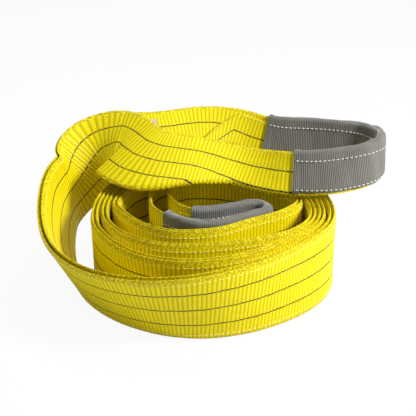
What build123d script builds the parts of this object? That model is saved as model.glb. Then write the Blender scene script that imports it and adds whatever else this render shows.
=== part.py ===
from build123d import *
import os
import numpy as np

# Flat duplex web sling with two folded, sleeved eyes, stored as a loose coil standing on one edge.
# Millimetres, +Z up, origin under the middle of the whole sling, on the surface that it stands on.

# Driving dimensions
WEB_WIDTH = 90.0          # width of the webbing
PLY = 4.0                 # thickness of one ply
PLY_GAP = 0.6             # room between the two plies, where the seam threads run
SEAM_INSET = 7.0          # seam row to the webbing's edge
THREAD = 1.6              # height of a seam thread's row
THREAD_DEPTH = 0.4        # depth of a seam thread in the gap between the plies
FOLDED_WIDTH = WEB_WIDTH / 2
FOLDED_THICKNESS = 2 * PLY + 0.4
SLEEVE_WALL = 1.6         # woven sleeve cloth
SLEEVE_FIT = 0.35         # room between the sleeve and the folded webbing
SLEEVE_SEAM_INSET = 12.0  # the sleeve's upper seam, below its top edge
SLEEVE_LOWER_INSET = 4.0  # the sleeve's lower seam, above its bottom edge
LABEL_WIDTH = 50.0        # along the webbing's width
LABEL_START = 14.0        # from the throat to the flap, where the legs have parted
LABEL_LENGTH = 24.0       # free length of the flap
LABEL_TAB = 26.0          # length sewn in between the plies
LABEL_THICKNESS = 0.4
LABEL_CLEAR = 0.7         # room between the label and the far leg that it lies against
LABEL_DROP = 12.0         # the label's top edge, below the webbing's top edge
TACK_WIDTH = 2.4          # one bar of the throat stitching
TACK_PITCH = 9.0
TACKS = 4
TACK_HEIGHT = 70.0
SECTION_STEP = 16.0       # spacing of the sections that a solid is lofted through
SECTION_TURN = 9.0        # most degrees of turn from one section to the next

DUPLEX = 2 * PLY + PLY_GAP
PLY_OFFSET = (PLY + PLY_GAP) / 2

# The routes below are measured from the coil's middle; the origin is under the whole's middle.
FOLD_MIDDLE = (FOLDED_THICKNESS - PLY) / 2
SLEEVE_HEIGHT = FOLDED_WIDTH + 2 * (SLEEVE_FIT + SLEEVE_WALL)
SLEEVE_THICKNESS = FOLDED_THICKNESS + 2 * (SLEEVE_FIT + SLEEVE_WALL)
SEAM_DEPTH = 0.5          # sleeve stitches, off its faces
SEAM_LIFT = 0.05
ORIGIN = (5.3, -7.2)

# Routes of the webbing's middle line.  Each row is x, y, how far the lower edge is lifted off
# the surface, and how far the web leans outwards in degrees.
CORE_BEND = [(78, 43, 0, 0), (92, 35, 0, 0), (99, 21, 0, 0), (92, 4, 0, 0)]
TURN_1 = [(79, -10, 0, 0), (44, -33, 0, 0), (12, -54, 0, 0), (-15, -61, 0, 0), (-41, -60, 0, 0),
          (-71, -43, 0, 0), (-93, -14, 0, 0), (-104, 12, 0, 0), (-98, 41, 0, 0), (-88, 65, 0, 0),
          (-54, 99, 0, 0), (-20, 114, 0, 0), (30, 110, 0, 0), (74, 86, 0, 0), (101, 45, 0, 0)]
TURN_2 = [(112, 0, 0, 0), (104, -36, 0, 0), (80, -63, 0, 0), (45, -81, 0, 0), (0, -92, 0, 0),
          (-45, -92, 0, 0), (-85, -71, 0, 0), (-108, -36, 0, 0), (-115, 5, 0, 0), (-106, 54, 0, 0),
          (-78, 96, 0, 0), (-30, 124, 0, 0), (30, 122, 0, 0), (82, 96, 0, 0), (114, 45, 0, 0)]
TURN_3 = [(122, 0, 0, 0), (114, -38, 0, 0), (80, -78, 0, 2), (28, -112, 0, 6), (-25, -121, 0, 9),
          (-62, -111, 0, 9), (-98, -80, 0, 5), (-119, -40, 0, 2), (-125, 4, 0, 0), (-116, 56, 0, 0),
          (-86, 103, 0, 0), (-30, 134, 0, 0), (35, 132, 0, 0), (91, 104, 0, 0), (124, 50, 0, 0)]
TURN_4 = [(133, 0, 0, 0), (125, -39, 0, 1), (88, -88, 0, 4), (33, -127, 0, 12),
          (-32, -141, 0, 22), (-95, -121, 0, 29)]
LOOP = [(-145, -73, 4, 29), (-168, -4, 16, 22), (-169, 60, 30, 12), (-154, 95, 43, 9),
        (-134, 107, 67, 25)]
THROAT = [(-106, 96, 95, 50)]

# The free eye, from the throat's near ply round the tip to its far ply.  Each row is x, y and
# height of the middle of the web's upper half, and the lean; the lower half folds up inside.
FREE_EYE = [(-68, 79, 135, 60), (-21, 63, 131, 63), (34, 50, 121, 52), (92, 28, 119, 24),
            (125, 27, 120, 17), (158, 31, 123, 10), (184, 43, 126, 5), (195, 66, 128, 0),
            (184, 89, 129, -5), (156, 101, 129, -9), (112, 110, 129, -15), (66, 118, 130, -22),
            (30, 127, 138, -38), (-19, 128, 141, -49), (-61, 118, 139, -50)]
FREE_FLEX = ((2, 4), (14, 16))     # rows where the near and the far leg flex and fold
FREE_SLEEVE = (5, 13)              # rows that the sleeve covers

# The eye in the core: its legs leave the throat at the right, run along the back of the core,
# turn at its left end and come forward, folded.  Heights as in the free eye.
CORE_TOP_HALF = WEB_WIDTH - FOLDED_WIDTH / 2
CORE_EYE = [(50, 72), (15, 90), (-22, 94), (-50, 84), (-66, 62), (-67, 36), (-64, 8), (-48, -18),
            (-24, -38), (2, -43), (28, -31), (50, -17), (64, -4), (64, 6), (52, 14), (36, 12),
            (18, 4), (0, -3), (-18, -4), (-33, 8), (-43, 25), (-46, 40), (-44, 56), (-34, 69), (-14, 75),
            (14, 71), (46, 57)]
CORE_FLEX = ((6, 8), (21, 24))
CORE_SLEEVE = (9, 20)

os.makedirs("parts", exist_ok=True)


THROAT_EASE = 14          # samples over which an eye takes up its own direction
SAMPLES_PER_ROW = 24


def natural_spline(rows):
    """Smooth curve through the rows: SAMPLES_PER_ROW points on each span, and their slopes."""
    points = np.array(rows, float)
    last = len(points) - 1
    chords = np.linalg.norm(np.diff(points[:, :2], axis=0), axis=1)
    knots = np.concatenate([[0], np.cumsum(chords)])
    step = np.diff(knots)
    matrix = np.eye(last + 1)
    right = np.zeros_like(points)
    for i in range(1, last):
        matrix[i, i - 1:i + 2] = step[i - 1], 2 * (step[i - 1] + step[i]), step[i]
        after = (points[i + 1] - points[i]) / step[i]
        before = (points[i] - points[i - 1]) / step[i - 1]
        right[i] = 6 * (after - before)
    curve = np.linalg.solve(matrix, right)
    spans = np.linspace(0, last, last * SAMPLES_PER_ROW + 1)
    at = np.interp(spans, np.arange(last + 1), knots)
    i = np.clip(np.searchsorted(knots, at, side="right") - 1, 0, last - 1)
    h = step[i][:, None]
    a = (knots[i + 1] - at)[:, None] / h
    b = 1 - a
    place = (a * points[i] + b * points[i + 1]
             + ((a**3 - a) * curve[i] + (b**3 - b) * curve[i + 1]) * h**2 / 6)
    slope = ((points[i + 1] - points[i]) / h
             + ((3 * b**2 - 1) * curve[i + 1] - (3 * a**2 - 1) * curve[i]) * h / 6)
    return place, slope


def frames(slope, lean):
    """Width and thickness directions of a web along its route; it leans by `lean` degrees."""
    along = slope[:, :3] / np.linalg.norm(slope[:, :3], axis=1)[:, None]
    rise = np.array([0, 0, 1.0]) - along * along[:, 2:3]
    rise /= np.linalg.norm(rise, axis=1)[:, None]
    outward = np.cross(rise, along)
    tilt = np.radians(lean)[:, None]
    across = np.cos(tilt) * rise + np.sin(tilt) * outward
    normal = np.cos(tilt) * outward - np.sin(tilt) * rise
    return across, normal


class Web:
    """A route, sampled finely, that strips of webbing are cut from."""

    def __init__(self, rows, on_edge, origin):
        place, slope = natural_spline(rows)
        place[:, :2] -= origin
        self.lean = place[:, 3]
        if on_edge:
            tilt = np.radians(self.lean)
            foot = FOLDED_WIDTH * np.cos(tilt) + DUPLEX / 2 * np.sin(tilt)
            lift = np.maximum(place[:, 2], 0)
            self.middle = np.column_stack([place[:, :2], foot + lift])
            slope = np.gradient(self.middle, axis=0)
        else:
            self.middle = place[:, :3]
        self.across, self.normal = frames(slope, self.lean)

    def cut(self, start, end):
        """Sample numbers from row `start` to row `end`, closer together where the web turns."""
        first, final = start * SAMPLES_PER_ROW, end * SAMPLES_PER_ROW
        legs = np.diff(self.middle[first:final + 1], axis=0)
        turns = np.diff(self.normal[first:final + 1], axis=0)
        degrees = np.degrees(np.linalg.norm(turns, axis=1))
        cost = np.linalg.norm(legs, axis=1) / SECTION_STEP + degrees / SECTION_TURN
        run = np.concatenate([[0], np.cumsum(cost)])
        count = max(3, round(run[-1]) + 1)
        wanted = np.linspace(0, run[-1], count)
        return first + np.unique(np.abs(run[None] - wanted[:, None]).argmin(axis=1))

    def stretch(self, k, length):
        """Samples from k on, over a length along the web; a negative length goes back from k."""
        steps = np.linalg.norm(np.diff(self.middle, axis=0), axis=1)
        run = np.concatenate([[0], np.cumsum(steps)])
        end = int(np.abs(run - run[k] - length).argmin())
        low, high = min(k, end), max(k, end)
        count = max(2, round(abs(length) / SECTION_STEP) + 1)
        return np.unique(np.linspace(low, high, count).round().astype(int))


def corners(web, k, centre_up, centre_out, height, thickness):
    """Four corners of one rectangular section of a strip."""
    up, out = web.across[k], web.normal[k]
    middle = web.middle[k] + up * centre_up + out * centre_out
    h, t = up * height / 2, out * thickness / 2
    return [middle - h - t, middle + h - t, middle + h + t, middle - h + t]


def loft(sections):
    wires = [Wire.make_polygon([Vector(*p) for p in points], close=True) for points in sections]
    return Solid.make_loft(wires, ruled=True)


def strip(web, picks, shape):
    """Solid strip; shape(k) gives centre_up, centre_out, height and thickness at sample k."""
    return loft([corners(web, k, *shape(k)) for k in picks])


def plain(up, out, height, thickness):
    return lambda k: (up, out, height, thickness)


def save(name, *solids):
    for solid in solids:
        assert solid.is_valid and solid.volume > 0, name
    shape = solids[0] if len(solids) == 1 else Compound(list(solids))
    shape.label = name
    export_step(shape, f"parts/{name}.step")


# The duplex body of the sling, from the throat in the core out to the throat of the free eye.
body_rows = CORE_BEND + TURN_1 + TURN_2 + TURN_3 + TURN_4 + LOOP + THROAT
body = Web(body_rows, on_edge=True, origin=ORIGIN)
turn_starts = [len(CORE_BEND)]
for turn in (TURN_1, TURN_2, TURN_3):
    turn_starts.append(turn_starts[-1] + len(turn))
loop_start = len(body_rows) - len(LOOP) - len(THROAT)
tail_start = loop_start + 2
tail_end = len(body_rows) - 1


def ply(start, end, side):
    picks = body.cut(start, end)
    return strip(body, picks, plain(0, side * PLY_OFFSET, WEB_WIDTH, PLY))


def seam(start, end, side):
    picks = body.cut(start, end)
    up = side * (WEB_WIDTH / 2 - SEAM_INSET)
    return strip(body, picks, plain(up, 0, THREAD, THREAD_DEPTH))


save("core_bend_outer_ply", ply(0, turn_starts[0], 1))
save("core_bend_inner_ply", ply(0, turn_starts[0], -1))
for number, start in enumerate(turn_starts, 1):
    end = turn_starts[number] if number < 4 else loop_start
    save(f"turn_{number}_outer_ply", ply(start, end, 1))
    save(f"turn_{number}_inner_ply", ply(start, end, -1))
for side, name in ((1, "coil_upper_seam"), (-1, "coil_lower_seam")):
    marks = [0] + turn_starts + [loop_start]
    save(name, *[seam(a, b, side) for a, b in zip(marks, marks[1:])])

save("bend_outer_ply", ply(loop_start, tail_start, 1))
save("bend_inner_ply", ply(loop_start, tail_start, -1))
save("bend_seams", seam(loop_start, tail_start, 1), seam(loop_start, tail_start, -1))
save("tail_outer_ply", ply(tail_start, tail_end, 1))
save("tail_inner_ply", ply(tail_start, tail_end, -1))
save("tail_seams", seam(tail_start, tail_end, 1), seam(tail_start, tail_end, -1))


def throat_row(k, side, turned):
    """Row of an eye's route that carries on from one ply of the body at sample k."""
    up, out = body.across[k] * FOLDED_WIDTH / 2, body.normal[k] * side * PLY_OFFSET
    place = body.middle[k] + up + out + np.array([*ORIGIN, 0])
    lean = -body.lean[k] if turned else body.lean[k]
    return (*place, lean)


def square_to_throat(web, k, inward, throat, side):
    """Start an eye at sample k on the end face of the body's ply, and ease into its own frames."""
    across, normal = body.across[throat], -side * body.normal[throat]
    web.middle[k] = body.middle[throat] + across * FOLDED_WIDTH / 2 - normal * PLY_OFFSET
    for n in range(THROAT_EASE):
        share = n / THROAT_EASE
        for own, end in ((web.across, across), (web.normal, normal)):
            eased = own[k + n * inward] * share + end * (1 - share)
            own[k + n * inward] = eased / np.linalg.norm(eased)


def leg(web, start, end, wide, folded):
    """Stretch of an eye's leg; it is full width at row `wide` and folded from row `folded` on."""
    picks = web.cut(start, end)

    def shape(k):
        row = k / SAMPLES_PER_ROW
        fold = min(max((row - wide) / (folded - wide), 0), 1)
        height = WEB_WIDTH + (FOLDED_WIDTH - WEB_WIDTH) * fold
        thickness = PLY + (FOLDED_THICKNESS - PLY) * fold
        return FOLDED_WIDTH / 2 - height / 2, (thickness - PLY) / 2, height, thickness

    return strip(web, picks, shape)


def sleeve(web, start, end):
    picks = web.cut(start, end)
    outside = strip(web, picks, plain(0, FOLD_MIDDLE, SLEEVE_HEIGHT, SLEEVE_THICKNESS))
    hollow_height = SLEEVE_HEIGHT - 2 * SLEEVE_WALL
    hollow_thickness = SLEEVE_THICKNESS - 2 * SLEEVE_WALL
    through = np.concatenate([[picks[0] - 1], picks, [picks[-1] + 1]])
    inside = strip(web, through, plain(0, FOLD_MIDDLE, hollow_height, hollow_thickness))
    return (outside - inside).solids()[0]


def sleeve_seam(web, start, end, up):
    """The two faces of one stitch row through the sleeve."""
    picks = web.cut(start, end)
    out = SLEEVE_THICKNESS / 2 + SEAM_LIFT + SEAM_DEPTH / 2
    rows = [plain(up, FOLD_MIDDLE + side * out, THREAD, SEAM_DEPTH) for side in (-1, 1)]
    return [strip(web, picks, row) for row in rows]


def save_eye(prefix, first, second, web, flex, covered):
    """One folded eye: its legs, their flexing stretches, its folded part and its sleeve."""
    (first_a, first_b), (last_a, last_b) = flex
    end = len(web.middle) // SAMPLES_PER_ROW
    save(f"{prefix}_{first}_leg", leg(web, 1, first_a, first_a, first_b))
    save(f"{prefix}_{first}_flex", leg(web, first_a, first_b, first_a, first_b))
    save(f"{prefix}_webbing", leg(web, first_b, last_a, first_a, first_b))
    save(f"{prefix}_{second}_flex", leg(web, last_a, last_b, last_b, last_a))
    save(f"{prefix}_{second}_leg", leg(web, last_b, end - 1, last_b, last_a))
    save(f"{prefix}_sleeve", sleeve(web, *covered))
    upper = SLEEVE_HEIGHT / 2 - SLEEVE_SEAM_INSET
    lower = -SLEEVE_HEIGHT / 2 + SLEEVE_LOWER_INSET
    save(f"{prefix}_sleeve_upper_seam", *sleeve_seam(web, *covered, upper))
    save(f"{prefix}_sleeve_lower_seam", *sleeve_seam(web, *covered, lower))


last = len(body.middle) - 1
free_rows = ([throat_row(last - SAMPLES_PER_ROW, -1, False), throat_row(last, -1, False)]
             + FREE_EYE
             + [throat_row(last, 1, True), throat_row(last - SAMPLES_PER_ROW, 1, True)])
free_eye = Web(free_rows, on_edge=False, origin=ORIGIN)
free_ends = (SAMPLES_PER_ROW, len(free_eye.middle) - 1 - SAMPLES_PER_ROW)
square_to_throat(free_eye, free_ends[0], 1, last, -1)
square_to_throat(free_eye, free_ends[1], -1, last, 1)
save_eye("free_eye", "near", "far", free_eye, FREE_FLEX, FREE_SLEEVE)

core_rows = ([throat_row(SAMPLES_PER_ROW, 1, True), throat_row(0, 1, True)]
             + [(x, y, CORE_TOP_HALF, 0) for x, y in CORE_EYE]
             + [throat_row(0, -1, False), throat_row(SAMPLES_PER_ROW, -1, False)])
core_eye = Web(core_rows, on_edge=False, origin=ORIGIN)
core_ends = (SAMPLES_PER_ROW, len(core_eye.middle) - 1 - SAMPLES_PER_ROW)
square_to_throat(core_eye, core_ends[0], 1, 0, 1)
square_to_throat(core_eye, core_ends[1], -1, 0, -1)
save_eye("core_eye", "outer", "inner", core_eye, CORE_FLEX, CORE_SLEEVE)

# The label, sewn in between the plies at the throat, and the stitching that closes the throat.
label_up = WEB_WIDTH / 2 - LABEL_DROP - LABEL_WIDTH / 2
tail_picks = body.cut(tail_start, tail_end)
tab = tail_picks[tail_picks >= body.stretch(last, -LABEL_TAB)[0]]
save("label_tab", strip(body, tab, plain(label_up, 0, LABEL_WIDTH, LABEL_THICKNESS)))

# The flap starts LABEL_START out of the throat, where the legs have parted enough to clear it.
flap_up = FOLDED_WIDTH / 2 - LABEL_DROP - LABEL_WIDTH / 2
flap_out = (PLY + LABEL_THICKNESS) / 2 + LABEL_CLEAR
flap_root = free_eye.stretch(free_ends[1], -LABEL_START)[0]
flap = free_eye.stretch(flap_root, -LABEL_LENGTH)
save("label", strip(free_eye, flap, plain(flap_up, flap_out, LABEL_WIDTH, LABEL_THICKNESS)))


def throat_tacks(facets, direction):
    """Bars of stitching between the plies' flat facets, one TACK_PITCH apart from the throat on."""
    steps = np.linalg.norm(np.diff(body.middle[facets], axis=0), axis=1)
    run = np.concatenate([[0], np.cumsum(steps)])
    shape = plain(0, 0, TACK_HEIGHT, THREAD_DEPTH)
    ends = np.array([corners(body, f, *shape(f)) for f in facets])
    start = 0 if direction > 0 else run[-1]
    bars = []
    for n in range(TACKS):
        outer = start + direction * (LABEL_TAB + TACK_PITCH * (n + 1))
        pair = sorted((outer, outer - direction * TACK_WIDTH))
        cuts = pair[:1] + [r for r in run if pair[0] < r < pair[1]] + pair[1:]
        at = np.interp(cuts, run, np.arange(len(facets)))
        low = np.minimum(at.astype(int), len(facets) - 2)
        share = (at - low)[:, None, None]
        bars.append(loft(ends[low] * (1 - share) + ends[low + 1] * share))
    return bars


save("free_throat_stitching", *throat_tacks(tail_picks, -1))
save("core_throat_stitching", *throat_tacks(body.cut(0, turn_starts[0]), 1))
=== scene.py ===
import math
import bpy
import numpy as np
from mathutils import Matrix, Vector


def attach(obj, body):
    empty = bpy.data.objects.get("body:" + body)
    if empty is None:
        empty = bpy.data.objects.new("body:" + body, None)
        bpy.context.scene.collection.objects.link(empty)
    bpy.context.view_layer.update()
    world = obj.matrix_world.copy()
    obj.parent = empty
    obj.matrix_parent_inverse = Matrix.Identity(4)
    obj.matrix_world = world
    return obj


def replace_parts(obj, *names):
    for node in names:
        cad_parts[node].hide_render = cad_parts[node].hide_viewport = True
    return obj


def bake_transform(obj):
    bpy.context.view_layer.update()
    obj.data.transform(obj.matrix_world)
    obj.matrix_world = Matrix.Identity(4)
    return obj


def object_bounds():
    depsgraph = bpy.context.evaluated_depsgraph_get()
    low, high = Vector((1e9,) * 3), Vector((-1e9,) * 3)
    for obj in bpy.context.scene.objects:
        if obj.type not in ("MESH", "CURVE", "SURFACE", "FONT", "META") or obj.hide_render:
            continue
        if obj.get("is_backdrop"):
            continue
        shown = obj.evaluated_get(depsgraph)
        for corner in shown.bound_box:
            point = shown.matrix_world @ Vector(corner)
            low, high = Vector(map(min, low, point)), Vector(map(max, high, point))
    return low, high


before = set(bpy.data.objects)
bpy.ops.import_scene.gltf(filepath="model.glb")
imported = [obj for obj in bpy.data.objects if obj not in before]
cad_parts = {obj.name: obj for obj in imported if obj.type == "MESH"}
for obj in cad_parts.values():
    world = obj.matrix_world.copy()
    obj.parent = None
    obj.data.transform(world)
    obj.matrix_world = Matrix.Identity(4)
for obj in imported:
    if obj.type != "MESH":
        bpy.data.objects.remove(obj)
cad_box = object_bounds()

# Camera: a long lens in front of the sling and above it, looking down at about 24 degrees, so
# that the coil's front and its open core both show.
camera_data = bpy.data.cameras.new("camera")
camera_data.sensor_width = 36
camera_data.lens = 85.7
camera = bpy.data.objects.new("camera", camera_data)
camera.location = (-0.0075, -0.9815, 0.5272)
camera.rotation_euler = (math.radians(66.05), 0, 0)
bpy.context.collection.objects.link(camera)
bpy.context.scene.camera = camera


# Duplex body webbing: two plies of ribbed yellow polyester strap, 90 mm wide, woven with three
# black marker yarns and bound selvedges, lying face to face and coiled up on edge.
MM = 0.001
WEB_WIDTH = 90.0
PLY = 4.0
PLY_GAP = 0.6
HALF = WEB_WIDTH / 2
PLY_OFFSET = (PLY + PLY_GAP) / 2
ORIGIN = (5.3, -7.2)
RIB_PITCH = 4.4
RIB_HEIGHT = 0.22
RING_STEP = 1.1
ROW_SAMPLES = 48
ACROSS = 20
FOLD_RADIUS = 2.2
DUPLEX = 2 * PLY + PLY_GAP
SELVEDGE = PLY * 0.55
CREASE_ANGLE = 50

CORE_BEND = [(78, 43, 0, 0), (92, 35, 0, 0), (99, 21, 0, 0), (92, 4, 0, 0)]
TURN_1 = [(79, -10, 0, 0), (44, -33, 0, 0), (12, -54, 0, 0), (-15, -61, 0, 0), (-41, -60, 0, 0),
          (-71, -43, 0, 0), (-93, -14, 0, 0), (-104, 12, 0, 0), (-98, 41, 0, 0), (-88, 65, 0, 0),
          (-54, 99, 0, 0), (-20, 114, 0, 0), (30, 110, 0, 0), (74, 86, 0, 0), (101, 45, 0, 0)]
TURN_2 = [(112, 0, 0, 0), (104, -36, 0, 0), (80, -63, 0, 0), (45, -81, 0, 0), (0, -92, 0, 0),
          (-45, -92, 0, 0), (-85, -71, 0, 0), (-108, -36, 0, 0), (-115, 5, 0, 0), (-106, 54, 0, 0),
          (-78, 96, 0, 0), (-30, 124, 0, 0), (30, 122, 0, 0), (82, 96, 0, 0), (114, 45, 0, 0)]
TURN_3 = [(122, 0, 0, 0), (114, -38, 0, 0), (80, -78, 0, 2), (28, -112, 0, 6), (-25, -121, 0, 9),
          (-62, -111, 0, 9), (-98, -80, 0, 5), (-119, -40, 0, 2), (-125, 4, 0, 0), (-116, 56, 0, 0),
          (-86, 103, 0, 0), (-30, 134, 0, 0), (35, 132, 0, 0), (91, 104, 0, 0), (124, 50, 0, 0)]
TURN_4 = [(133, 0, 0, 0), (125, -39, 0, 1), (88, -88, 0, 4), (33, -127, 0, 12),
          (-32, -141, 0, 22), (-95, -121, 0, 29)]
LOOP = [(-145, -73, 4, 29), (-168, -4, 16, 22), (-169, 60, 30, 12), (-154, 95, 43, 9),
        (-134, 107, 67, 25)]
THROAT = [(-106, 96, 95, 50)]


def spline(rows):
    """Natural cubic spline through the rows, ROW_SAMPLES points on each span."""
    points = np.array(rows, float)
    last = len(points) - 1
    knots = np.concatenate([[0], np.cumsum(np.linalg.norm(np.diff(points[:, :2], axis=0), axis=1))])
    step = np.diff(knots)
    matrix = np.eye(last + 1)
    right = np.zeros_like(points)
    for i in range(1, last):
        matrix[i, i - 1:i + 2] = step[i - 1], 2 * (step[i - 1] + step[i]), step[i]
        right[i] = 6 * ((points[i + 1] - points[i]) / step[i]
                        - (points[i] - points[i - 1]) / step[i - 1])
    curve = np.linalg.solve(matrix, right)
    at = np.interp(np.linspace(0, last, last * ROW_SAMPLES + 1), np.arange(last + 1), knots)
    i = np.clip(np.searchsorted(knots, at, side="right") - 1, 0, last - 1)
    h = step[i][:, None]
    a = (knots[i + 1] - at)[:, None] / h
    b = 1 - a
    return (a * points[i] + b * points[i + 1]
            + ((a**3 - a) * curve[i] + (b**3 - b) * curve[i + 1]) * h**2 / 6)


class Web:
    """A strap's route: middle line, width direction and face normal, by distance along it."""

    def __init__(self, rows, on_edge):
        place = spline(rows)
        place[:, 0] -= ORIGIN[0]
        place[:, 1] -= ORIGIN[1]
        self.lean = place[:, 3]
        tilt = np.radians(self.lean)
        if on_edge:
            foot = HALF * np.cos(tilt) + DUPLEX / 2 * np.sin(tilt)
            place[:, 2] = foot + np.maximum(place[:, 2], 0)
        self.middle = place[:, :3]
        along = np.gradient(self.middle, axis=0)
        along /= np.linalg.norm(along, axis=1)[:, None]
        rise = np.array([0, 0, 1.0]) - along * along[:, 2:3]
        rise /= np.linalg.norm(rise, axis=1)[:, None]
        outward = np.cross(rise, along)
        self.across = np.cos(tilt)[:, None] * rise + np.sin(tilt)[:, None] * outward
        self.normal = np.cos(tilt)[:, None] * outward - np.sin(tilt)[:, None] * rise
        steps = np.linalg.norm(np.diff(self.middle, axis=0), axis=1)
        self.run = np.concatenate([[0], np.cumsum(steps)])

    def at(self, distance):
        """Middle, width direction and normal at these distances along the strap."""
        out = [np.column_stack([np.interp(distance, self.run, part[:, n]) for n in range(3)])
               for part in (self.middle, self.across, self.normal)]
        out[1] /= np.linalg.norm(out[1], axis=1)[:, None]
        out[2] /= np.linalg.norm(out[2], axis=1)[:, None]
        return out

    def row(self, number):
        return self.run[number * ROW_SAMPLES]


def profile(fold, across):
    """Up and out of a section's middle line and of its face; fold runs from 0, flat, to 1, in half."""
    crease = WEB_WIDTH - HALF * fold
    arc = np.clip((across - crease) / FOLD_RADIUS, 0, math.pi)
    past = np.maximum(across - crease - FOLD_RADIUS * math.pi, 0)
    up = HALF / 2 - np.minimum(across, crease) - FOLD_RADIUS * np.sin(arc) + past
    out = FOLD_RADIUS * (1 - np.cos(arc))
    return up, out, np.sin(arc), np.cos(arc)


def new_object(name, points, faces, uv, material):
    """Mesh object from points and UVs in millimetres, smooth but for its sharp edges."""
    mesh = bpy.data.meshes.new(name)
    mesh.from_pydata([tuple(p) for p in points * MM], [], faces)
    layer = mesh.uv_layers.new(name="web")
    loops = np.zeros(len(mesh.loops), int)
    mesh.loops.foreach_get("vertex_index", loops)
    layer.data.foreach_set("uv", (uv[loops] * MM).ravel())
    mesh.materials.append(material)
    piece = bpy.data.objects.new(name, mesh)
    bpy.context.collection.objects.link(piece)
    bpy.ops.object.select_all(action="DESELECT")
    piece.select_set(True)
    bpy.context.view_layer.objects.active = piece
    bpy.ops.object.shade_smooth_by_angle(angle=math.radians(CREASE_ANGLE))
    return piece


def tube_faces(rings, around):
    """Quads of a closed tube of rings, with a face over each end."""
    faces = []
    for i in range(rings - 1):
        for j in range(around):
            k = (j + 1) % around
            here, there = i * around, (i + 1) * around
            faces.append((here + j, here + k, there + k, there + j))
    faces.append(tuple(range(around - 1, -1, -1)))
    faces.append(tuple(range((rings - 1) * around, rings * around)))
    return faces


def strap(name, web, start, end, centre_up, centre_out, fold_at, phase, columns=ACROSS):
    """One ply of webbing between two distances, ribbed across, with rounded selvedges."""
    count = max(4, int((end - start) / RING_STEP) + 1)
    distance = np.linspace(start, end, count)
    middle, across_way, normal = web.at(distance)
    share = np.linspace(0, 1, columns)
    across = WEB_WIDTH * (0.5 - 0.5 * np.cos(np.pi * share) * 0.12 + (share - 0.5) * 0.88)
    across = np.clip(across, 0, WEB_WIDTH)
    edge = np.clip(np.minimum(across, WEB_WIDTH - across) / SELVEDGE, 0, 1)
    round_off = np.sqrt(np.clip(1 - (1 - edge)**2, 0.03, 1))
    points, coords = [], []
    for i, d in enumerate(distance):
        up, out, n_up, n_out = profile(fold_at(d), across)
        rib = RIB_HEIGHT * (0.5 + 0.5 * math.cos(2 * math.pi * d / RIB_PITCH)) * (0.4 + 0.6 * edge)
        wave = 0.12 * math.sin(d / 23.0 + phase) + 0.1 * math.sin(d / 9.0 + 2.1 * phase)
        thick = (PLY / 2 - RIB_HEIGHT + rib) * round_off
        for side in (1, -1):
            order = slice(None) if side == 1 else slice(None, None, -1)
            u = (up + side * thick * n_up)[order] + centre_up + wave
            o = (out + side * thick * n_out)[order] + centre_out
            points.append(middle[i] + u[:, None] * across_way[i] + o[:, None] * normal[i])
            coords.append(np.column_stack([np.full(columns, d), across[order]]))
    faces = tube_faces(count, 2 * columns)
    return new_object(name, np.concatenate(points), faces, np.concatenate(coords), yellow_webbing)


def flat_section(distance):
    return 0.0


def node(tree, kind, **values):
    made = tree.nodes.new(kind)
    for key, value in values.items():
        setattr(made, key, value)
    return made


def maths(tree, operation, first, second=None, third=None, clamp=False):
    made = node(tree, "ShaderNodeMath", operation=operation, use_clamp=clamp)
    for socket, value in zip(made.inputs, (first, second, third)):
        if value is None:
            continue
        if isinstance(value, (int, float)):
            socket.default_value = value
        else:
            tree.links.new(value, socket)
    return made.outputs[0]


def mixed(tree, factor, first, second):
    made = node(tree, "ShaderNodeMix", data_type="RGBA")
    for socket, value in ((made.inputs[0], factor), (made.inputs[6], first), (made.inputs[7], second)):
        if isinstance(value, (tuple, float)):
            socket.default_value = value
        else:
            tree.links.new(value, socket)
    return made.outputs[2]


def weave_group():
    """Node group: height of a plain weave, from distances along and across and two pitches."""
    group = bpy.data.node_groups.new("weave", "ShaderNodeTree")
    for name in ("Along", "Across", "Along pitch", "Across pitch"):
        group.interface.new_socket(name, in_out="INPUT", socket_type="NodeSocketFloat")
    group.interface.new_socket("Height", in_out="OUTPUT", socket_type="NodeSocketFloat")
    start = node(group, "NodeGroupInput")
    end = node(group, "NodeGroupOutput")
    turns = 2 * math.pi
    along = maths(group, "MULTIPLY", maths(group, "DIVIDE", start.outputs[0], start.outputs[2]), turns)
    across = maths(group, "MULTIPLY", maths(group, "DIVIDE", start.outputs[1], start.outputs[3]), turns)
    warp = maths(group, "MULTIPLY", maths(group, "SINE", along), maths(group, "SINE", across))
    height = maths(group, "MULTIPLY_ADD", warp, 0.5, 0.5)
    group.links.new(height, end.inputs[0])
    return group


weave = weave_group()


def cloth_material(name, roughness, sheen):
    """Principled material, with the UV map's distances along and across the cloth in metres."""
    material = bpy.data.materials.new(name)
    material.use_nodes = True
    tree = material.node_tree
    shader = tree.nodes["Principled BSDF"]
    shader.inputs["Roughness"].default_value = roughness
    shader.inputs["Sheen Weight"].default_value = sheen
    shader.inputs["Sheen Roughness"].default_value = 0.4
    shader.inputs["Specular IOR Level"].default_value = 0.18
    uv = node(tree, "ShaderNodeUVMap", uv_map="web")
    split = node(tree, "ShaderNodeSeparateXYZ")
    tree.links.new(uv.outputs[0], split.inputs[0])
    return material, tree, shader, uv.outputs[0], split.outputs[0], split.outputs[1]


def noise(tree, vector, scale, stretch=(1, 1, 1), detail=3.0):
    """Noise texture's value over a vector, which stretch scales by axis first."""
    mapping = node(tree, "ShaderNodeMapping")
    mapping.inputs["Scale"].default_value = stretch
    tree.links.new(vector, mapping.inputs[0])
    made = node(tree, "ShaderNodeTexNoise")
    made.inputs["Scale"].default_value = scale
    made.inputs["Detail"].default_value = detail
    tree.links.new(mapping.outputs[0], made.inputs["Vector"])
    return made.outputs[0]


def weave_height(tree, along, across, along_pitch, across_pitch):
    made = node(tree, "ShaderNodeGroup", node_tree=weave)
    tree.links.new(along, made.inputs[0])
    tree.links.new(across, made.inputs[1])
    made.inputs[2].default_value = along_pitch
    made.inputs[3].default_value = across_pitch
    return made.outputs[0]


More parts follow.
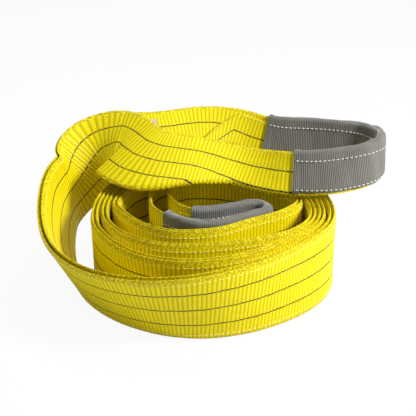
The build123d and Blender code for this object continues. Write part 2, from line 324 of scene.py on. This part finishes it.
def bump(tree, shader, height, strength, distance):
    made = node(tree, "ShaderNodeBump")
    made.inputs["Strength"].default_value = strength
    made.inputs["Distance"].default_value = distance
    tree.links.new(height, made.inputs["Height"])
    tree.links.new(made.outputs[0], shader.inputs["Normal"])


def webbing_material():
    """Yellow ribbed polyester with black marker yarns, brighter, mottled selvedges and painted shade in
    the rib valleys.
    """
    material, tree, shader, uv, along, across = cloth_material("yellow_webbing", 0.5, 0.0)
    cells = weave_height(tree, along, across, 0.0022, 0.0030)
    blotch = noise(tree, uv, 55.0, (1.0, 2.0, 1.0))
    yarn = noise(tree, uv, 900.0, (1.0, 0.25, 1.0), 2.0)
    rib = maths(tree, "COSINE", maths(tree, "MULTIPLY", along, 2 * math.pi / (RIB_PITCH * MM)))
    # Painted shade: the base colour darkens towards deep brown in the valleys between the ribs.
    rib_valley_shade = maths(tree, "MULTIPLY", maths(tree, "SUBTRACT", 0.1, rib), 0.55, clamp=True)
    base = mixed(tree, blotch, (0.72, 0.58, 0.0, 1.0), (0.95, 0.80, 0.0, 1.0))
    base = mixed(tree, maths(tree, "MULTIPLY", yarn, 0.45), base, (1.0, 0.88, 0.002, 1.0))
    base = mixed(tree, rib_valley_shade, base, (0.34, 0.25, 0.0, 1.0))
    inset = maths(tree, "SUBTRACT", HALF * MM,
                  maths(tree, "ABSOLUTE", maths(tree, "SUBTRACT", across, HALF * MM)))
    rim = maths(tree, "MULTIPLY", maths(tree, "SUBTRACT", 0.0045, inset), 900.0, clamp=True)
    speck = maths(tree, "SUBTRACT", noise(tree, uv, 520.0), 0.46)
    speck = maths(tree, "MULTIPLY", speck, 7.0, clamp=True)
    rim_colour = mixed(tree, speck, (0.50, 0.38, 0.0, 1.0), (0.90, 0.80, 0.02, 1.0))
    base = mixed(tree, rim, base, rim_colour)
    sway = maths(tree, "SUBTRACT", noise(tree, uv, 60.0, (1, 0, 1)), 0.5)
    sway = maths(tree, "MULTIPLY", sway, 0.0022)
    break_up = maths(tree, "MULTIPLY", noise(tree, uv, 260.0, (1, 0.2, 1)), 0.0009)
    lines = None
    for share in (0.25, 0.5, 0.75):
        off = maths(tree, "SUBTRACT", maths(tree, "SUBTRACT", across, share * WEB_WIDTH * MM), sway)
        off = maths(tree, "ABSOLUTE", off)
        near = maths(tree, "SUBTRACT", maths(tree, "ADD", break_up, 0.00042), off)
        mark = maths(tree, "MULTIPLY", near, 5000.0, clamp=True)
        lines = mark if lines is None else maths(tree, "MAXIMUM", lines, mark)
    dash = maths(tree, "MULTIPLY_ADD", rib, 0.9, 1.25, clamp=True)
    lines = maths(tree, "MULTIPLY", lines, dash)
    base = mixed(tree, lines, base, (0.018, 0.016, 0.012, 1.0))
    tree.links.new(base, shader.inputs["Base Color"])
    tree.links.new(maths(tree, "MULTIPLY_ADD", yarn, 0.25, 0.42), shader.inputs["Roughness"])
    height = maths(tree, "ADD", maths(tree, "MULTIPLY", cells, 0.7), maths(tree, "MULTIPLY", yarn, 0.5))
    bump(tree, shader, height, 0.75, 0.0005)
    return material


yellow_webbing = webbing_material()
body_rows = CORE_BEND + TURN_1 + TURN_2 + TURN_3 + TURN_4 + LOOP + THROAT
body = Web(body_rows, on_edge=True)
turn_rows = [len(CORE_BEND)]
for turn in (TURN_1, TURN_2, TURN_3, TURN_4):
    turn_rows.append(turn_rows[-1] + len(turn))
loop_row = turn_rows[-1]
tail_row = loop_row + 2
throat_row = len(body_rows) - 1
stretches = [("core_bend", 0, turn_rows[0], "coil")]
stretches += [(f"turn_{n + 1}", turn_rows[n], turn_rows[n + 1], "coil") for n in range(4)]
stretches += [("bend", loop_row, tail_row, None), ("tail", tail_row, throat_row, "free_end")]
for stretch, first, last, on in stretches:
    for side, ply_name in ((1, "outer"), (-1, "inner")):
        piece = strap(f"{stretch}_{ply_name}_web", body, body.row(first), body.row(last), HALF / 2,
                      side * PLY_OFFSET, flat_section, side + 1.5)
        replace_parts(piece, f"{stretch}_{ply_name}_ply")
        if on:
            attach(piece, on)
        else:
            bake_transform(piece)


# Body seams: pale polyester lockstitch, two rows through both plies, seen as raised dashes on the
# outer faces. Each stitch is a short thread with its ends pulled into the webbing.
STITCH_PITCH = 6.0
STITCH_LENGTH = 4.2
SEAM_THREAD_WIDTH = 1.1
SEAM_UP = HALF - 7.0


def stitch_mesh(name, marks, length, thick, material):
    """Small rounded dashes; each mark is (centre, along, up, out) in millimetres and unit vectors."""
    shape = ((-0.5, 0.25), (-0.3, 0.95), (0.3, 0.95), (0.5, 0.25))
    points, faces, coords = [], [], []
    for centre, along, up, out in marks:
        base = len(points)
        for share, girth in shape:
            for angle in range(0, 360, 60):
                r = thick / 2 * girth
                points.append(centre + along * share * length + up * r * math.cos(math.radians(angle))
                              + out * r * math.sin(math.radians(angle)))
                coords.append((share * length, angle / 60.0))
        faces += [tuple(base + n for n in face) for face in STITCH_FACES]
    return new_object(name, np.array(points), faces, np.array(coords), material)


STITCH_FACES = tube_faces(4, 6)


def stitch_row(web, start, end, up, out, pitch=STITCH_PITCH, sway=0.35):
    """Marks along a web at a height and a distance off its middle face."""
    count = max(2, int((end - start) / pitch))
    distance = start + (np.arange(count) + 0.5) * (end - start) / count
    middle, across_way, normal = web.at(distance)
    along = np.cross(across_way, normal)
    wander = sway * np.sin(distance / 17.0 + up)
    place = middle + across_way * (up + wander)[:, None] + normal * out
    return [(place[i], along[i], across_way[i], normal[i]) for i in range(count)]


def thread_material(name, light, dark, roughness):
    """Twisted thread: fine slanting strands, with worn and dirty patches."""
    material, tree, shader, uv, along, around = cloth_material(name, roughness, 0.3)
    coordinates = node(tree, "ShaderNodeTexCoord").outputs["Object"]
    twist = maths(tree, "ADD", maths(tree, "MULTIPLY", along, 6000.0),
                  maths(tree, "MULTIPLY", around, 1047.0))
    strands = maths(tree, "MULTIPLY_ADD", maths(tree, "SINE", twist), 0.5, 0.5)
    grime = noise(tree, coordinates, 160.0)
    base = mixed(tree, grime, dark, light)
    base = mixed(tree, maths(tree, "MULTIPLY", strands, 0.3), base, light)
    tree.links.new(base, shader.inputs["Base Color"])
    bump(tree, shader, strands, 0.6, 0.0002)
    return material


seam_thread = thread_material("seam_thread", (1.0, 0.92, 0.30, 1.0), (0.80, 0.66, 0.06, 1.0), 0.5)
SEAM_OUT = PLY_OFFSET + PLY / 2 + 0.05
for name, heights, first, last, on in (("coil_upper_seam", (1,), 0, loop_row, "coil"),
                                       ("coil_lower_seam", (-1,), 0, loop_row, "coil"),
                                       ("bend_seams", (1, -1), loop_row, tail_row, None),
                                       ("tail_seams", (1, -1), tail_row, throat_row, "free_end")):
    marks = []
    for side in (1, -1):
        for height in heights:
            marks += stitch_row(body, body.row(first), body.row(last), height * SEAM_UP,
                                side * SEAM_OUT)
    piece = stitch_mesh(f"{name}_stitches", marks, STITCH_LENGTH, SEAM_THREAD_WIDTH, seam_thread)
    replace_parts(piece, name)
    if on:
        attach(piece, on)
    else:
        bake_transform(piece)


# Throat stitching: four bars of close lockstitch across the web where the plies part into an eye,
# sewn through both plies, at the core and at the free end.
LABEL_TAB = 26.0
BARS = 4
BAR_PITCH = 9.0
BAR_WIDTH = 2.4
BAR_HEIGHT = 70.0


def across_row(web, distance, height, out, pitch=4.4):
    """Marks across a web's width at one distance along it."""
    count = int(height / pitch)
    middle, across_way, normal = (part[0] for part in web.at(np.array([distance])))
    along = np.cross(across_way, normal)
    ups = (np.arange(count) - (count - 1) / 2) * pitch
    return [(middle + across_way * up + normal * out, across_way, along, normal) for up in ups]


for name, distance, direction, on in (("core_throat_stitching", 0.0, 1, "coil"),
                                      ("free_throat_stitching", body.run[-1], -1, "free_end")):
    marks = []
    for bar in range(BARS):
        at = distance + direction * (LABEL_TAB + BAR_PITCH * (bar + 1) - BAR_WIDTH / 2)
        for side in (1, -1):
            marks += across_row(body, at, BAR_HEIGHT, side * SEAM_OUT)
    piece = stitch_mesh(f"{name}_rows", marks, 3.6, SEAM_THREAD_WIDTH, seam_thread)
    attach(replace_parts(piece, name), on)


# Eyes: each is the same strap, one ply running out from a throat, folded in half lengthwise to
# half its width round the bearing point, and back to the throat as the other ply.
FREE_EYE = [(-68, 79, 135, 60), (-21, 63, 131, 63), (34, 50, 121, 52), (92, 28, 119, 24),
            (125, 27, 120, 17), (158, 31, 123, 10), (184, 43, 126, 5), (195, 66, 128, 0),
            (184, 89, 129, -5), (156, 101, 129, -9), (112, 110, 129, -15), (66, 118, 130, -22),
            (30, 127, 138, -38), (-19, 128, 141, -49), (-61, 118, 139, -50)]
CORE_EYE = [(50, 72), (15, 90), (-22, 94), (-50, 84), (-66, 62), (-67, 36), (-64, 8), (-48, -18),
            (-24, -38), (2, -43), (28, -31), (50, -17), (64, -4), (64, 6), (52, 14), (36, 12),
            (18, 4), (0, -3), (-18, -4), (-33, 8), (-43, 25), (-46, 40), (-44, 56), (-34, 69),
            (-14, 75), (14, 71), (46, 57)]


def plain_throat(sample, side, turned):
    """Row of an eye's route that carries on from one ply of the body."""
    place = (body.middle[sample] + body.across[sample] * HALF / 2
             + body.normal[sample] * side * PLY_OFFSET + np.array([*ORIGIN, 0]))
    return (*place, -body.lean[sample] if turned else body.lean[sample])


final = len(body.middle) - 1
free_web = Web([plain_throat(final - ROW_SAMPLES, -1, False), plain_throat(final, -1, False)]
               + FREE_EYE
               + [plain_throat(final, 1, True), plain_throat(final - ROW_SAMPLES, 1, True)],
               on_edge=False)
core_web = Web([plain_throat(ROW_SAMPLES, 1, True), plain_throat(0, 1, True)]
               + [(x, y, WEB_WIDTH - HALF / 2, 0) for x, y in CORE_EYE]
               + [plain_throat(0, -1, False), plain_throat(ROW_SAMPLES, -1, False)],
               on_edge=False)
EYE_COLUMNS = 42
EASE_SAMPLES = 28


def square_to_throat(web, sample, inward, throat, side):
    """Start an eye on the end of the body's ply, and ease into the eye's own directions."""
    up, out = body.across[throat], -side * body.normal[throat]
    web.middle[sample] = body.middle[throat] + up * HALF / 2 - out * PLY_OFFSET
    for n in range(EASE_SAMPLES):
        share = n / EASE_SAMPLES
        share = share * share * (3 - 2 * share)
        for own, end in ((web.across, up), (web.normal, out)):
            eased = own[sample + n * inward] * share + end * (1 - share)
            own[sample + n * inward] = eased / np.linalg.norm(eased)


for web, throat, side in ((free_web, final, -1), (core_web, 0, 1)):
    square_to_throat(web, ROW_SAMPLES, 1, throat, side)
    square_to_throat(web, len(web.middle) - 1 - ROW_SAMPLES, -1, throat, -side)


def eye(prefix, web, names, rows, root, moving):
    """Five stretches of one eye: leg, flex, folded webbing, flex and leg."""
    (first_a, first_b), (last_a, last_b) = rows
    end = (len(web.middle) - 1) // ROW_SAMPLES - 1
    fold_on = web.row(first_a), web.row(first_b)
    fold_off = web.row(last_a), web.row(last_b)

    def fold_at(d):
        opening = min((d - fold_on[0]) / (fold_on[1] - fold_on[0]),
                      (fold_off[1] - d) / (fold_off[1] - fold_off[0]))
        return min(max(opening, 0.0), 1.0)

    cuts = ((names[0], 1, first_a, root), (names[1], first_a, first_b, None),
            ("webbing", first_b, last_a, moving), (names[2], last_a, last_b, None),
            (names[3], last_b, end, root))
    for name, first, last, on in cuts:
        piece = strap(f"{prefix}_{name}_strap", web, web.row(first), web.row(last), 0, 0, fold_at,
                      first * 0.7, EYE_COLUMNS)
        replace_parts(piece, f"{prefix}_{name}")
        if on:
            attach(piece, on)
        else:
            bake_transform(piece)
        length = (web.row(last) - web.row(first)) * MM


eye("free_eye", free_web, ("near_leg", "near_flex", "far_flex", "far_leg"), ((2, 4), (14, 16)),
    "free_end", "free_eye")
eye("core_eye", core_web, ("outer_leg", "outer_flex", "inner_flex", "inner_leg"), ((6, 8), (21, 24)),
    "coil", "core_eye")


# Sleeves: grey woven polyester tubes pulled over the folded part of each eye against wear, hemmed
# at the ends and sewn through with two rows of whitish thread, puckered where the eye turns.
SLEEVE_HIGH = 48.9
SLEEVE_THICK = 12.3
SLEEVE_WALL = 1.6
SLEEVE_CORNER = 4.5
FOLD_MIDDLE = 2.2
SLEEVE_RING_STEP = 1.0
SLEEVE_AROUND = 72
HEM_RINGS = 7
HEM_HEIGHT = 0.55
TIGHT_TURN = 0.03


def rounded(height, thickness, radius, around):
    """Points round a rounded rectangle, and the distance round it to each."""
    h, t = height / 2 - radius, thickness / 2 - radius
    corner = [(h, t, 0), (-h, t, 90), (-h, -t, 180), (h, -t, 270)]
    dense = []
    for up, out, turn in corner:
        for angle in np.linspace(0, 90, 9):
            a = math.radians(turn + angle)
            dense.append((up + radius * math.cos(a), out + radius * math.sin(a)))
    dense.append(dense[0])
    dense = np.array(dense)
    run = np.concatenate([[0], np.cumsum(np.linalg.norm(np.diff(dense, axis=0), axis=1))])
    wanted = np.linspace(0, run[-1], around, endpoint=False)
    return np.column_stack([np.interp(wanted, run, dense[:, n]) for n in range(2)]), wanted


def sleeve_material():
    """Fine ribbed warm grey cloth, scuffed paler on its ridges."""
    material, tree, shader, uv, along, around = cloth_material("sleeve_cloth", 0.8, 0.4)
    turns = maths(tree, "MULTIPLY", along, 3141.6)
    ribs = maths(tree, "MULTIPLY_ADD", maths(tree, "SINE", turns), 0.5, 0.5)
    cells = weave_height(tree, along, around, 0.0020, 0.0016)
    patch = noise(tree, uv, 45.0)
    fluff = noise(tree, uv, 1100.0, (1, 1, 1), 2.0)
    base = mixed(tree, patch, (0.115, 0.110, 0.090, 1.0), (0.19, 0.185, 0.16, 1.0))
    base = mixed(tree, maths(tree, "MULTIPLY", cells, 0.45), base, (0.38, 0.38, 0.36, 1.0))
    base = mixed(tree, maths(tree, "MULTIPLY", ribs, 0.35), base, (0.06, 0.058, 0.05, 1.0))
    tree.links.new(base, shader.inputs["Base Color"])
    height = maths(tree, "ADD", maths(tree, "MULTIPLY", ribs, 0.9), maths(tree, "MULTIPLY", fluff, 0.4))
    bump(tree, shader, height, 0.9, 0.0006)
    return material


sleeve_cloth = sleeve_material()
sleeve_thread = thread_material("sleeve_thread", (0.88, 0.88, 0.85, 1.0), (0.50, 0.51, 0.50, 1.0), 0.6)


def puckers(distance, round_share, bend):
    """Depth of the creases across a sleeve, deeper where the eye turns tightly."""
    slow = math.sin(distance / 6.1 + 2.2 * math.sin(distance / 31.0) + 3 * round_share)
    quick = math.sin(distance / 2.9 + 5.0 * round_share)
    return (0.25 + 0.55 * bend) * slow + (0.08 + 0.2 * bend) * quick


def sleeve(prefix, web, first, last, body_name):
    """One sleeve, open at both ends, and the two stitch rows through it."""
    start, end = web.row(first), web.row(last)
    count = int((end - start) / SLEEVE_RING_STEP) + 1
    distance = np.linspace(start, end, count)
    middle, across_way, normal = web.at(distance)
    turn = np.linalg.norm(np.gradient(normal, axis=0), axis=1)
    turn = np.clip(turn / TIGHT_TURN, 0, 1)
    turn = np.convolve(np.pad(turn, 8, mode="edge"), np.ones(17) / 17, mode="valid")
    around = SLEEVE_AROUND
    outer, run = rounded(SLEEVE_HIGH, SLEEVE_THICK, SLEEVE_CORNER, around)
    inner, _ = rounded(SLEEVE_HIGH - 2 * SLEEVE_WALL, SLEEVE_THICK - 2 * SLEEVE_WALL, 3.0, around)
    way = outer / np.linalg.norm(outer, axis=1)[:, None]
    flat_side = np.clip((SLEEVE_HIGH / 2 - np.abs(outer[:, 0])) / 8, 0, 1)
    face_out = np.sign(outer[:, 1]) * np.maximum(np.abs(way[:, 1]), flat_side)
    face = np.column_stack([way[:, 0] * (1 - flat_side), face_out])
    points, coords = [], []

    def ring(i, section, share):
        shaped = section + FOLD_MIDDLE * np.array([0, 1])
        depth = np.array([puckers(distance[i], n / around, turn[i]) for n in range(around)]) * share
        hem = HEM_HEIGHT * share if min(i, count - 1 - i) < HEM_RINGS else 0.0
        shaped = shaped + face * (depth + hem)[:, None]
        points.append(middle[i] + shaped[:, :1] * across_way[i] + shaped[:, 1:] * normal[i])
        coords.append(np.column_stack([np.full(around, distance[i]), run]))

    for i in range(count):
        ring(i, outer, 1.0)
    for i in range(count - 1, -1, -1):
        ring(i, inner, 0.0)
    rings = 2 * count
    faces = []
    for i in range(rings):
        for j in range(around):
            k = (j + 1) % around
            m = (i + 1) % rings
            faces.append((i * around + j, i * around + k, m * around + k, m * around + j))
    piece = new_object(f"{prefix}_cover", np.concatenate(points), faces, np.concatenate(coords),
                       sleeve_cloth)
    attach(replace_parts(piece, f"{prefix}_sleeve"), body_name)
    for row, up in (("upper", SLEEVE_HIGH / 2 - 12), ("lower", -SLEEVE_HIGH / 2 + 4)):
        marks = []
        for side in (1, -1):
            out = FOLD_MIDDLE + side * (SLEEVE_THICK / 2 + 0.5)
            marks += stitch_row(web, start + 2, end - 2, up, out, 5.0, 0.5)
        piece = stitch_mesh(f"{prefix}_{row}_stitches", marks, 3.2, 1.2, sleeve_thread)
        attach(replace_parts(piece, f"{prefix}_sleeve_{row}_seam"), body_name)


sleeve("free_eye", free_web, 5, 13, "free_eye")
sleeve("core_eye", core_web, 9, 20, "core_eye")


# Label: a blank strip of pale coated cloth tape. Its tab is sewn in between the plies at the
# throat, and its flap lies free along the far leg.
LABEL_WIDTH = 50.0
LABEL_THICKNESS = 0.4
LABEL_DROP = 12.0
LABEL_START = 14.0
LABEL_LENGTH = 24.0
TAPE_RINGS = 40
TAPE_COLUMNS = 16


def label_material():
    """Pale beige coated cloth tape with a faint weave and darker smudges."""
    material, tree, shader, uv, along, across = cloth_material("label_tape", 0.45, 0.05)
    cells = weave_height(tree, along, across, 0.0009, 0.0009)
    smudge = noise(tree, uv, 70.0)
    base = mixed(tree, smudge, (0.50, 0.43, 0.25, 1.0), (0.70, 0.63, 0.44, 1.0))
    base = mixed(tree, maths(tree, "MULTIPLY", cells, 0.15), base, (0.50, 0.44, 0.34, 1.0))
    tree.links.new(base, shader.inputs["Base Color"])
    bump(tree, shader, cells, 0.4, 0.0002)
    return material


label_tape = label_material()


def tape(name, web, start, end, up, out, curl):
    """Thin strip of label tape; its last part curls away by `curl`."""
    distance = np.linspace(start, end, TAPE_RINGS)
    middle, across_way, normal = web.at(distance)
    across = np.linspace(0, LABEL_WIDTH, TAPE_COLUMNS)
    points, coords = [], []
    for i, d in enumerate(distance):
        for side in (1, -1):
            order = slice(None) if side == 1 else slice(None, None, -1)
            u = (up + LABEL_WIDTH / 2 - across)[order]
            lift = curl * ((end - d) / (end - start))**2 + 0.08 * math.sin(d / 5.0)
            o = np.full(TAPE_COLUMNS, out + side * LABEL_THICKNESS / 2 + lift)
            points.append(middle[i] + u[:, None] * across_way[i] + o[:, None] * normal[i])
            coords.append(np.column_stack([np.full(TAPE_COLUMNS, d), across[order]]))
    faces = tube_faces(TAPE_RINGS, 2 * TAPE_COLUMNS)
    return new_object(name, np.concatenate(points), faces, np.concatenate(coords), label_tape)


tab_end = body.run[-1]
label_up = HALF - LABEL_DROP - LABEL_WIDTH / 2
tab = tape("label_tab_tape", body, tab_end - LABEL_TAB, tab_end, label_up, 0, 0.0)
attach(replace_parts(tab, "label_tab"), "free_end")
throat_at = free_web.row(len(FREE_EYE) + 2)
flap_end = throat_at - LABEL_START
flap_out = (PLY + LABEL_THICKNESS) / 2 + 0.7
flap = tape("label_flap_tape", free_web, flap_end - LABEL_LENGTH, flap_end, label_up - HALF / 2,
            flap_out, 0.6)
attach(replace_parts(flap, "label"), "label")


# Floor and light: a pale floor that looks white to the camera, a soft key from the right and
# above, weaker light from above behind and from the left, and a dim, even surround.
bpy.ops.mesh.primitive_plane_add(size=12, location=(0, 0, -0.0002))
floor = bpy.context.object
floor.name = "floor"
floor_material = bpy.data.materials.new("floor")
floor_material.use_nodes = True
floor_tree = floor_material.node_tree
floor_shader = floor_tree.nodes["Principled BSDF"]
floor_shader.inputs["Base Color"].default_value = (0.88, 0.88, 0.86, 1)
floor_shader.inputs["Roughness"].default_value = 0.9
floor_shader.inputs["Specular IOR Level"].default_value = 0.1
glow = node(floor_tree, "ShaderNodeEmission")
rays = node(floor_tree, "ShaderNodeLightPath")
seen = maths(floor_tree, "MULTIPLY", rays.outputs["Is Camera Ray"], 0.93)
blend_node = node(floor_tree, "ShaderNodeMixShader")
floor_tree.links.new(seen, blend_node.inputs[0])
floor_tree.links.new(floor_shader.outputs[0], blend_node.inputs[1])
floor_tree.links.new(glow.outputs[0], blend_node.inputs[2])
floor_tree.links.new(blend_node.outputs[0], floor_tree.nodes["Material Output"].inputs["Surface"])
floor.data.materials.append(floor_material)
floor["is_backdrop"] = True


def area_light(name, location, rotation, size, power):
    data = bpy.data.lights.new(name, "AREA")
    data.shape = "DISK"
    data.size = size
    data.energy = power
    light = bpy.data.objects.new(name, data)
    light.location = location
    light.rotation_euler = [math.radians(v) for v in rotation]
    bpy.context.collection.objects.link(light)
    light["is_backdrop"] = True


area_light("key", (1.1, -0.35, 1.0), (49, 0, 72), 0.45, 27)
area_light("fill", (-1.3, -0.3, 0.9), (62, 0, -77), 1.0, 3)
area_light("top", (0.1, 0.55, 1.5), (-20, 0, 0), 0.7, 9)
world = bpy.data.worlds.new("world")
world.use_nodes = True
world.node_tree.nodes["Background"].inputs["Color"].default_value = (1, 1, 1, 1)
world.node_tree.nodes["Background"].inputs["Strength"].default_value = 0.22
bpy.context.scene.world = world
bpy.context.scene.view_settings.view_transform = "Standard"


def plain_box(box):
    """A box as plain lists of numbers."""
    if isinstance(box, dict):
        return {key: plain_box(value) for key, value in box.items()}
    if hasattr(box, "__len__"):
        return [plain_box(value) for value in box]
    return float(box)


visual_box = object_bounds()
{"cad": plain_box(cad_box), "visual": plain_box(visual_box)}
